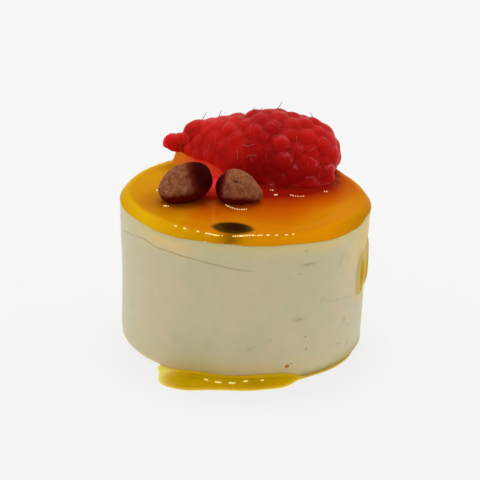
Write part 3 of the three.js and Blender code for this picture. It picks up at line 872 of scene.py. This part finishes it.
# Styles that stand up from the crest of the berry: base x, how far the tip leans to the side and to
# the back, and how high it rises
STYLES = [
    (-6.75, 0.67, 0.1, 1.2), (-4.35, 0.42, 0.1, 1.1), (0.4, 0.5, 0.0, 0.5), (1.6, 0.35, 0.1, 0.4),
    (4.1, 0.65, 0.0, 1.1), (9.2, -0.4, 0.0, 0.75)]
CREST_LEAN = 0.4  # the crest is where height plus this share of the way back is greatest
HAIR_SEED = 7
HAIR_COUNT = 70
# Pale hairs that lie on the front of the berry, as (x, z) from end to end
LYING_HAIRS = [
    ((-0.8, 26.45), (0.1, 26.4), (0.95, 26.75)), ((0.0, 25.15), (0.55, 25.42), (1.25, 25.4)),
    ((-1.42, 25.75), (-1.36, 25.2), (-1.4, 24.7))]


def settled(tree, point, rise=0.03):
    """The nearest place on a skin, a little above it, and the skin's normal there."""
    place, normal, _, _ = tree.find_nearest(Vector(point))
    return np.array(place) + rise * np.array(normal), np.array(normal)


def crest_at(tree, x):
    places = [tree.ray_cast(Vector((x, y, 40)), Vector((0, 0, -1)))[0] for y in np.linspace(4, 14, 41)]
    return np.array(max((place for place in places if place), key=lambda p: p.z + CREST_LEAN * p.y))


def make_styles(tree, material):
    parts = []
    for x, lean, back, rise in STYLES:
        foot = crest_at(tree, x) - (0, 0, 0.1)
        share = np.linspace(0, 1, 6)[:, None]
        bend = np.array([lean, back, rise]) * share + np.array([0.12, 0, 0]) * share * (1 - share)
        parts.append(tube(foot + bend, np.linspace(0.06, 0.03, 6)))
    points, faces = joined(parts)
    make_piece("raspberry_styles", points, faces, material, "raspberry")


def make_lying_hairs(tree, material):
    parts = []
    for ends in LYING_HAIRS:
        path = [settled(tree, tree.ray_cast(Vector((x, -20, z)), Vector((0, 1, 0)))[0], 0.045)[0]
                for x, z in ends]
        share = np.linspace(0, 1, 9)
        path = np.array([np.interp(share, (0, 0.5, 1), np.array(path)[:, axis]) for axis in range(3)]).T
        parts.append(tube([settled(tree, point, 0.045)[0] for point in path], np.full(9, 0.04)))
    draw = np.random.default_rng(HAIR_SEED)
    for share, sweep, heading, bent, reach in draw.random((HAIR_COUNT, 5)):
        share, angle = 0.05 + 0.92 * share, lerp(-1.5, 1.5, sweep)
        outline = float(berry_outline(share))
        near = berry_point(share * BERRY_LENGTH, BERRY_HALF_WIDTH * outline * math.sin(angle),
                           0.9 + BERRY_HEIGHT * outline * math.cos(angle))
        start, normal = settled(tree, near)
        heading *= 2 * math.pi
        along = np.cross(normal, (math.cos(heading), math.sin(heading), 0.3))
        along /= np.linalg.norm(along)
        curl = np.cross(normal, along) * lerp(-0.5, 0.5, bent)
        length = lerp(0.6, 1.6, reach)
        steps = np.linspace(0, 1, 8)
        path = [settled(tree, start + length * (along * t + curl * t * t), 0.02 + 0.05 * t)[0] for t in steps]
        parts.append(tube(path, np.linspace(0.025, 0.012, 8), sides=5))
    points, faces = joined(parts)
    make_piece("raspberry_hairs", points, faces, material, "raspberry")


# Cocoa nuggets

def nugget_points(normal, settings):
    centre, half, turn, lean, point, seed = settings
    x, y, z = normal.T
    lumps = np.sin(3.1 * x + seed) * np.sin(2.7 * y + 2 * seed) + 0.6 * np.sin(4.3 * z + 2.1 * x + 3 * seed)
    shaped = normal * (1 + NUGGET_LUMPS * lumps)[:, None]
    narrowing = 1 - point * smooth(x) - 0.3 * point * x
    shaped = shaped * np.stack([np.ones_like(x), narrowing, narrowing], -1) * np.array(half)
    turned = Matrix.Rotation(math.radians(turn), 3, "Z") @ Matrix.Rotation(math.radians(lean), 3, "Y")
    return shaped @ np.array(turned).T + np.array(centre), normal @ np.array(turned).T


def make_nugget(name, material):
    normal, faces = even_sphere(NUGGET_DETAIL)
    points, outward = nugget_points(normal, NUGGETS[name])
    crust = 0.08 * grain_at(points, 1.1, 11) + 0.045 * grain_at(points, 0.42, 12)
    crust += 0.035 * np.abs(grain_at(points, 0.22, 13))
    if name == "cocoa_nugget_right":
        pit = np.linalg.norm(points - np.array(NUGGET_PIT), axis=1)
        crust -= 0.55 * bell(pit / 0.24)
        crust -= 0.12 * bell(pit / 0.6)
    points = points + crust[:, None] * outward
    x, y, z = points.T
    # The sides facing the berry and the gap are dark red: partly juice soaked in and partly painted shade
    # with the berry's red reflection.
    if name == "cocoa_nugget_left":
        soaked = smooth((x + 7.2 + 0.45 * (z - 24.3)) / 2.6 + 0.5)
        soaked = np.maximum(soaked, 0.5 * above(y, -4.0, 1.6))
        wet_line = 22.35 + 0.9 * above(x, -11.5, 5)
    else:
        soaked = np.maximum(smooth((-x - 2.8 + 0.25 * (z - 23)) / 1.1), above(y, -3.6, 1.5))
        wet_line = 22.55 - 0.7 * above(x, -0.5, 2.2)
    drift = grain_at(points, 0.7, 14)
    soaked = np.clip(soaked + 0.3 * drift * (1 - soaked), 0, 1)
    juicy = smooth((wet_line + 0.25 * drift - z) / 1.0 + 0.5)
    return make_piece(name.replace("cocoa_", "") + "_cocoa", points, faces, material, "cocoa_nugget",
                      name, soaked=soaked, juicy=juicy)


# Glaze layer

SEED_CENTRE = (-1.6, -14.1)
SEED_HALF = (2.85, 2.0)
SEED_SLANT = 0.16
FARTHEST = 14.0  # distances from the toppings are only worked out up to this
AWAY_LENGTH = 12  # distance over which the glaze turns from red to yellow


def berry_shares(x, y):
    """Share of the berry's length and offset to the back, for places on the glaze."""
    right, back = x - BERRY_STEM[0], y - BERRY_STEM[1]
    distance = -right * math.cos(BERRY_TURN) + back * math.sin(BERRY_TURN)
    aside = right * math.sin(BERRY_TURN) + back * math.cos(BERRY_TURN)
    return distance / BERRY_LENGTH, aside


def mound_height(x, y, level):
    """How far the glaze climbs above its level to hold up the berry's lifted end."""
    share, aside = berry_shares(x, y)
    held = BERRY_HALF_WIDTH * berry_outline(np.clip(share, 0.0, MOUND_END)) * MOUND_HELD
    outside = np.maximum(np.abs(aside) - held, 0.0)
    past = np.maximum(share - MOUND_END + 0.04, 0.0) * BERRY_LENGTH
    away = np.hypot(outside, past) / MOUND_FLARE
    climb = np.maximum(berry_underside(x) + 0.12 - level, 0.0)
    return climb * smooth((share - MOUND_START) / 0.08) * np.exp(-MOUND_FALL * away)


def distance_to(tree, points, reach):
    """Distance from each point to a skin, or the reach where it is farther."""
    found = [tree.find_nearest(Vector(point), reach)[3] for point in points.tolist()]
    return np.array([reach if distance is None else distance for distance in found])


def rim_and_top(azimuth, foot):
    """Radius of each ring of the glaze's upper side, from its edge inwards, its drop below the top,
    and the radius at which the flat top begins."""
    narrow = lerp(SIDE_RIM_SHARE, 1.0, bell(azimuth / 52))
    flat_radius = GLAZE_RADIUS - RIM_WIDTH * narrow
    tops, drops = [], []
    for inset in RIM_WIDTH * np.linspace(0, 1, 42) ** 1.4:
        tops.append(GLAZE_RADIUS - inset * narrow)
        drops.append((GLAZE_TOP - (foot + 0.07)) * curve_through(RIM_PROFILE, inset))
    for share in np.linspace(1, 0.0004, 122)[1:]:
        tops.append(flat_radius * math.sqrt(share))
        drops.append(np.zeros_like(azimuth))
    return np.array(tops), np.array(drops), flat_radius


def seed_masks(x, y):
    """The dark halo of the seed in the gel, with the shadow it casts on the rim painted in, and its browner
    core.
    """
    across, along = x - SEED_CENTRE[0], y - SEED_CENTRE[1]
    across, along = across - SEED_SLANT * along, along + SEED_SLANT * across
    narrowing = 1 - 0.06 * np.abs(across) / SEED_HALF[0]
    seed = np.hypot(across / SEED_HALF[0], along / SEED_HALF[1] / narrowing)
    halo = 0.98 * (1 - above(seed, 0.8, 0.36))
    core = 0.85 * (1 - above(np.hypot((across - 0.35) / 1.9, (along - 0.1) / 1.5), 0.35, 0.7))
    # Painted shadow of the seed on the rim below it.
    shade = 0.6 * bell((x + 1.8) / 1.5) * above(-y, 15.4, 0.8) * (1 - above(-y, 17.2, 0.4))
    return np.maximum(halo, shade), core


def gel_masks(x, y, level, edge, berry_near, nugget_near, drift):
    """How the colour of the gel drifts with its depth and with the distance from each topping, with the
    toppings' light, shade and reflection painted in.
    """
    left = smooth((-x - 6.0 + 0.6 * drift) / 3.5)
    # How far the berry's painted red light and reflection reach in front of it and into the gap between the
    # nuggets.
    in_gap = 1.2 * (np.hypot((x + 4.4) / 0.9, np.maximum(-2.6 - y, 0.0)) - 1.2)
    ahead = berry_near - lerp(3.0, 0.8, above(x, 3, 9.5)) + 1.2 * above(x, 12.5, 2)
    ahead = ahead * lerp(1.0, 1.9, above(x, 6, 6.5)) * lerp(2.2, 1.0, below(y, 9, 4))
    to_left = np.hypot(x + 8.5, y + 5.0)
    away = lerp(np.maximum(np.minimum(ahead, in_gap), 0.0), to_left, left) + 0.3 * drift
    # Painted light: the red glow in the gel between the nuggets, and the lit gel of the mound under the
    # berry's tip.
    glow = bell((x + 4.4) / 1.9) * above(y, -3.0, 6.5) * (1 - above(y, 6.0, 3.0))
    raised = above(level, 21.3, 0.6) * smooth((-x - 4) / 2) * above(y, -1, 3)
    raised = raised * (1 - 0.7 * above(y, 9, 3))
    deep = above(edge, 0.8, 1.1)
    deep = np.maximum(deep, 0.55 * below(np.minimum(berry_near, nugget_near), 1.2, 1.2))
    return dict(deep=deep, away=np.clip(away / AWAY_LENGTH, 0, 1), left=left,
                mound=raised * above(x, -14.2, 2.5),
                glow=np.maximum(glow, raised * above(x, -10.2, 3.5)),
                # Painted shade at the front foot of the nuggets.
                dark_foot=0.9 * np.exp(-(nugget_near / 0.5) ** 2) * smooth((-y - 5.2) / 1.2))


def make_glaze(material, toppings):
    columns = 560
    azimuth = np.linspace(-180, 180, columns, endpoint=False)
    foot = curve_through(GLAZE_FOOT, azimuth)
    rings = [polar(2.0, azimuth, 19.5), polar(10.0, azimuth, 19.5), polar(16.4, azimuth, 19.5)]
    for inset, lift in ((0.75, 0.0), (0.3, 0.0), (0.1, 0.0), (0.02, 0.03)):
        rings.append(polar(GLAZE_RADIUS - inset, azimuth, foot + lift))
    tops, drops, flat_radius = rim_and_top(azimuth, foot)
    inward = tops / flat_radius
    turned = np.radians(azimuth)
    x, y = tops * np.sin(turned), -tops * np.cos(turned)
    level = lerp(GLAZE_CROWN, GLAZE_TOP, np.clip(inward, 0, 1) ** 1.5) - drops
    flat = np.stack([x, y, level], -1).reshape(-1, 3)
    level = level + 0.02 * grain_at(flat, 4.5, 21).reshape(level.shape)
    level += 0.006 * grain_at(flat, 1.6, 22).reshape(level.shape) * smooth(inward * 6 - 5)
    level = level + mound_height(x, y, level)

    place = np.stack([x, y, level], -1).reshape(-1, 3)
    uneven = 1 + 0.3 * grain_at(place, 1.3, 24)
    drift = grain_at(place, 2.5, 23)
    apart = [distance_to(tree, place, FARTHEST) for tree, _, _ in toppings]
    climb = np.max([height * uneven * np.exp(-distance / reach)
                    for distance, (_, height, reach) in zip(apart, toppings)], axis=0)
    level = level + climb.reshape(level.shape)
    berry_near, *nuggets_near = (distance.reshape(level.shape) for distance in apart)
    masks = gel_masks(x, y, level, GLAZE_RADIUS - tops, berry_near, np.minimum(*nuggets_near),
                      drift.reshape(level.shape))
    masks["seed_halo"], masks["seed_core"] = seed_masks(x, y)

    under = np.zeros((len(rings), columns))
    rings += list(np.stack([x, y, level], -1))
    points, faces = turned_mesh(np.array([np.broadcast_to(ring, (columns, 3)) for ring in rings]))
    return make_piece(
        "glaze_layer", points, faces, material, "fruit_glaze", "passion_fruit_glaze",
        **{mask: np.append(np.vstack([under, values]), [0.0, values[-1].mean()])
           for mask, values in masks.items()})


# Puddle at the foot

def make_puddle(material):
    columns, rows = 520, 44
    azimuth = np.linspace(PUDDLE_REACH[0][0], PUDDLE_REACH[-1][0], columns)
    reach = curve_through(PUDDLE_REACH, azimuth)
    reach = reach + 0.05 * np.sin(np.radians(azimuth * 23)) * np.clip(reach, 0, 1)
    wall = curve_through(PUDDLE_WALL, azimuth)
    inner = side_radius(0.5) - 0.3
    whole = PUDDLE_BEGIN - inner + reach
    body = np.minimum(PUDDLE_BODY * smooth(0.35 + 0.4 * reach), wall * 0.9)
    body = body * lerp(0.55, 1.0, above(azimuth, -36, 11))
    ridge_along = above(azimuth, -29, 4) * (1 - above(azimuth, -14, 3))
    tops, pales, ridges, climbings = [], [], [], []
    for share in np.sin(np.linspace(0, np.pi / 2, rows)):
        aside = share * whole
        left = np.maximum(whole - aside, 0)
        roll = np.minimum(left / np.minimum(1.5, 0.75 * whole), 1)
        height = body * np.sqrt(np.clip(1 - (1 - roll) ** 2.2, 0, 1))
        height = height + np.maximum(wall - body, 0) * np.exp(-np.maximum(aside - 0.3, 0) / 0.28)
        dip = 0.1 * bell((aside - 0.95) / 0.3) * above(reach, 1.2, 0.8)
        tops.append(polar(inner + aside, azimuth, np.maximum(height - dip, 0.02)))
        edge_left = bell((azimuth + 37) / 6.0) + 0.5 * bell((azimuth + 31) / 5) * below(left, 1.4, 1.2)
        # Painted light where the puddle meets the body, in the shade of the cake above it.
        climbings.append(below(aside, 0.95, 0.5) + 0 * azimuth)
        pales.append(np.clip(edge_left + 0.55 * below(height, 0.5, 0.5), 0, 1))
        ridges.append(0.45 * bell((inner + aside - PUDDLE_BEGIN - 1.55) / 0.16) * ridge_along)
    top = np.array(tops)
    flat = top.reshape(-1, 3)
    ripple = 0.03 * grain_at(flat, 1.7, 31) * smooth(flat[:, 2] / 0.5)
    top[..., 2] += ripple.reshape(top.shape[:2])
    bottom = top.copy()
    bottom[..., 2] = 0.0
    points = np.vstack([top.reshape(-1, 3), bottom.reshape(-1, 3)])
    faces = [face[::-1] for face in slab_faces(rows, columns)]
    masks = dict(pale=pales, ridge=ridges, climbing=climbings, dull=[above(azimuth, 26, 5)] * rows)
    return make_piece("glaze_puddle_gel", points, faces, material, "puddle_glaze", "glaze_puddle",
                      **{mask: np.tile(np.ravel(values), 2) for mask, values in masks.items()})


# Small things: crumbs in the mousse and on the rim, fibres, and bubbles in the glaze that stand in for its
# highlights

# Crumbs in the side: azimuth and height, and size
CRUMBS = [((21.4, 2.06), 0.27), ((29.7, 6.1), 0.16), ((30.4, 4.3), 0.08), ((23.3, 2.4), 0.09)]
RIM_CRUMB = (0.93, -16.45, 20.5)
# Fibres on the rim: azimuth, height, length to the side and rise
FIBRES = [
    (-9.6, 19.85, 0.25, 0.1), (-7.3, 19.75, 0.1, 0.3), (-5.3, 19.95, 0.35, -0.35), (-2.2, 19.68, 0.4, 0.05),
    (-17.5, 19.95, 0.45, 0.0)]
# Tiny bubbles that float on the gel at the feet of the toppings and along its rim, set where its glints fall
# as painted highlights: place and radius
BUBBLES = [
    (-2.7, -6.3, 0.2), (-3.3, -5.7, 0.13), (-2.62, -7.0, 0.1), (-2.35, -7.25, 0.12), (-2.05, -7.47, 0.1),
    (-1.75, -7.64, 0.12), (-1.45, -7.77, 0.1), (-1.12, -7.85, 0.12), (-0.8, -7.88, 0.1),
    (-0.47, -7.87, 0.12), (-0.17, -7.79, 0.11), (0.1, -7.69, 0.09), (-10.95, -7.25, 0.12),
    (-10.68, -7.4, 0.15), (-10.38, -7.46, 0.1), (-12.3, -1.2, 0.15), (3.42, -0.2, 0.08), (3.7, -0.25, 0.11),
    (4.0, -1.75, 0.12), (4.25, -1.7, 0.13), (6.2, -1.55, 0.1), (6.5, -1.7, 0.12), (6.85, -1.78, 0.09),
    (7.2, -1.85, 0.1), (7.6, -1.82, 0.09), (7.95, -1.7, 0.1), (10.95, 0.3, 0.1), (11.25, 0.35, 0.12),
    (-9.12, -13.62, 0.1), (-8.98, -13.7, 0.12), (-7.9, -14.33, 0.12), (-7.7, -14.44, 0.12),
    (-6.15, -15.22, 0.12), (-5.95, -15.3, 0.11), (-5.0, -15.7, 0.12), (-4.75, -15.78, 0.12),
    (-4.5, -15.86, 0.13), (-4.25, -15.93, 0.12), (-4.0, -15.99, 0.1), (-3.7, -16.06, 0.08),
    (-3.3, -16.14, 0.08), (-2.9, -16.22, 0.09), (-1.5, -16.34, 0.08), (-1.2, -16.34, 0.1),
    (-0.9, -16.33, 0.12), (-0.6, -16.31, 0.13), (-0.3, -16.27, 0.13), (0.0, -16.22, 0.12),
    (0.3, -16.18, 0.12), (0.62, -16.13, 0.12), (0.95, -16.09, 0.12), (1.7, -16.03, 0.1),
    (1.95, -16.0, 0.11), (2.2, -15.97, 0.1), (2.9, -15.88, 0.12), (3.1, -15.86, 0.12), (4.0, -15.72, 0.11),
    (4.2, -15.68, 0.1), (5.3, -15.42, 0.12), (5.52, -15.36, 0.1), (6.27, -15.05, 0.11)]
# The same on the puddle: azimuth, distance out from the body, and radius
PUDDLE_BUBBLES = [
    (-14.2, 1.5, 0.1), (-13.5, 1.55, 0.14), (-12.8, 1.6, 0.1), (-9.6, 1.6, 0.1), (-8.9, 1.62, 0.14),
    (-8.2, 1.62, 0.14), (-7.5, 1.6, 0.11), (-4.0, 1.5, 0.11), (-3.3, 1.5, 0.14), (-2.6, 1.5, 0.13),
    (-1.9, 1.45, 0.1), (1.9, 1.1, 0.11), (2.6, 1.05, 0.15), (3.3, 1.0, 0.11), (9.1, 0.85, 0.1),
    (9.8, 0.8, 0.13)]


def crumb(centre, size, seed):
    normal, faces = even_sphere(6)
    lumps = 1 + 0.35 * grain_at(normal, 0.8, seed)
    return centre + normal * (size * lumps)[:, None] * np.array([1.0, 0.8, 0.85]), faces.tolist()


def make_crumbs(material):
    parts = [crumb(polar(side_radius(spot[1]) + 0.02, spot[0], spot[1]), size, 40 + number)
             for number, (spot, size) in enumerate(CRUMBS)]
    parts.append(crumb(np.array(RIM_CRUMB), 0.13, 50))
    points, faces = joined(parts)
    make_piece("mousse_crumbs", points, faces, material, "cocoa_nugget")


def make_fibres(material):
    parts = []
    share = np.linspace(0, 1, 7)
    for azimuth, height, sideways, rise in FIBRES:
        path = polar(GLAZE_RADIUS + 0.04 + 0.08 * np.sin(np.pi * share),
                     azimuth + share * np.degrees(sideways / GLAZE_RADIUS), height + rise * share)
        parts.append(tube(path, np.linspace(0.04, 0.03, 7)))
    points, faces = joined(parts)
    make_piece("rim_fibres", points, faces, material, "cheesecake")


def make_bubbles(glaze_tree, puddle_tree, material):
    normal, faces = even_sphere(5)
    places = [(glaze_tree, *bubble) for bubble in BUBBLES]
    places += [(puddle_tree, *polar(PUDDLE_BEGIN + out, azimuth, 0.0)[:2], size)
               for azimuth, out, size in PUDDLE_BUBBLES]
    parts = []
    for tree, x, y, size in places:
        top = tree.ray_cast(Vector((x, y, 24)), Vector((0, 0, -1)))[0]
        parts.append((np.array(top) + (0, 0, 0.25 * size) + normal * size, faces.tolist()))
    points, faces = joined(parts)
    make_piece("glaze_bubbles", points, faces, material, "fruit_glaze")


# Studio

# Row of small ceiling lights that the gel mirrors: place along X and Y, width and depth
CEILING_LIGHTS = [
    (-204, 122, 7, 22), (-174, 104, 7, 22), (-122, 111, 7, 18), (-90, 92, 6, 14), (-66, 84, 18, 14),
    (-21, 99, 4, 14), (2, 106, 14, 16), (26, 140, 4, 30), (36, 145, 3, 30), (43, 145, 4, 30),
    (77, 112, 4, 20), (107, 108, 4, 20), (125, 115, 4, 20)]
CEILING_HEIGHT = 400.0
SPARKLE_RADIANCE = 110.0
# Broad soft panel that lights the cake from above: place, size and radiance
PANEL_PLACE = (0.0, 97.0, 400.0)
PANEL_SIZE = (260.0, 150.0)
PANEL_RADIANCE = 3.55
LAMP_AIM = (0, 0, 20)
BOARD_HALF = 3.0  # in metres
BOARD_GLOW = 0.872


def make_lamp(name, place, size, radiance):
    light = bpy.data.lights.new(name, "AREA")
    light.shape = "RECTANGLE"
    light.size, light.size_y = size[0] * MM, size[1] * MM
    light.energy = radiance * math.pi * size[0] * size[1] * MM * MM
    lamp = bpy.data.objects.new(name, light)
    lamp.rotation_mode = "QUATERNION"
    lamp.location = Vector(place) * MM
    lamp.rotation_quaternion = (Vector(place) - Vector(LAMP_AIM)).to_track_quat("Z", "Y")
    bpy.context.scene.collection.objects.link(lamp)
    return lamp


def make_lights():
    """A soft panel that gives light but is too faint to mirror, and small lamps only seen in gloss."""
    make_lamp("soft_panel", PANEL_PLACE, PANEL_SIZE, PANEL_RADIANCE).visible_glossy = False
    for number, (x, y, width, depth) in enumerate(CEILING_LIGHTS):
        lamp = make_lamp(f"ceiling_light_{number + 1}", (x, y, CEILING_HEIGHT), (width, depth),
                         SPARKLE_RADIANCE)
        lamp.visible_diffuse = False


def make_surroundings():
    """A white tent: bright above, behind and at the sides, and dimmer in front."""
    world = bpy.data.worlds.new("white_tent")
    world.use_nodes = True
    tent = Nodes(world.node_tree)
    direction = tent.split(tent.add("TexCoord").outputs["Generated"])
    frontness = tent.between(direction["Y"], -1.0, 0.6, 0.5, 0.8)
    leftness = tent.between(direction["X"], -1.0, 1.0, 1.08, 0.94)
    background = tent.tree.nodes["Background"].inputs
    tent.put(tent.math("MULTIPLY", frontness, leftness), background["Strength"])
    background["Color"].default_value = (1.0, 1.0, 0.99, 1.0)
    bpy.context.scene.world = world


def make_floor():
    look = Finish("pale_board", Roughness=0.75, Specular_IOR_Level=0.2, Emission_Strength=BOARD_GLOW)
    tint = look.tints((237, 237, 237), (238, 238, 238), 60.0)
    look.feed(Base_Color=look.mix(1.0, tint, linear(124, 124, 124), "MULTIPLY"), Emission_Color=tint)
    mesh = bpy.data.meshes.new("board")
    corners = [(-1, -1), (1, -1), (1, 1), (-1, 1)]
    mesh.from_pydata([(x * BOARD_HALF, y * BOARD_HALF, 0) for x, y in corners], [], [(0, 1, 2, 3)])
    mesh.materials.append(look.material)
    board = bpy.data.objects.new("board", mesh)
    bpy.context.scene.collection.objects.link(board)


def make_camera():
    elevation, roll = math.radians(CAMERA_ELEVATION), math.radians(CAMERA_ROLL)
    back = Vector((0, -math.cos(elevation), math.sin(elevation)))
    right = Vector((1, 0, 0))
    up = back.cross(right)
    turned_right = math.cos(roll) * right + math.sin(roll) * up
    turned_up = -math.sin(roll) * right + math.cos(roll) * up
    data = bpy.data.cameras.new("camera")
    data.sensor_width = 36
    data.lens = CAMERA_LENS
    data.clip_start, data.clip_end = 0.01, 20
    camera = bpy.data.objects.new("camera", data)
    turn = Matrix((turned_right, turned_up, back)).transposed().to_4x4()
    camera.matrix_world = Matrix.Translation((Vector(CAMERA_AIM) + back * CAMERA_DISTANCE) * MM) @ turn
    bpy.context.scene.collection.objects.link(camera)
    bpy.context.scene.camera = camera


def main():
    bpy.context.scene.view_settings.view_transform = "Standard"
    make_camera()
    make_lights()
    make_surroundings()
    make_floor()

    nugget = nugget_finish()
    make_mousse(mousse_finish())
    make_run(run_finish())
    berry_tree = make_raspberry(raspberry_finish())
    left_tree = make_nugget("cocoa_nugget_left", nugget)
    right_tree = make_nugget("cocoa_nugget_right", nugget)
    # Skin of each topping, how far the gel climbs at it, and over what distance that falls away
    toppings = [(berry_tree, 0.5, 1.3), (left_tree, 0.6, 0.5), (right_tree, 0.7, 0.55)]
    glaze_tree = make_glaze(glaze_finish(), toppings)
    puddle_tree = make_puddle(puddle_finish())
    style_brown = plain_finish("style_brown", (120, 70, 60), (90, 50, 45), 3000.0, 0.6)
    make_styles(berry_tree, style_brown)
    make_lying_hairs(berry_tree, plain_finish("hair_pink", (206, 98, 92), (184, 74, 72), 2000.0, 0.5))
    make_crumbs(plain_finish("crumb_brown", (222, 132, 24), (180, 104, 20), 4000.0, 0.7))
    make_fibres(plain_finish("fibre_white", (240, 228, 190), (225, 205, 150), 3000.0, 0.5))
    # Pale bubbles with a faint glow: painted highlights of the gel.
    bubble_pale = plain_finish("bubble_pale", (255, 240, 170), (255, 226, 140), 2500.0, 0.1,
                               Coat_Weight=0.5, Coat_Roughness=0.03, Emission_Strength=0.3,
                               Emission_Color=(1.0, 0.8, 0.4, 1.0))
    make_bubbles(glaze_tree, puddle_tree, bubble_pale)


main()
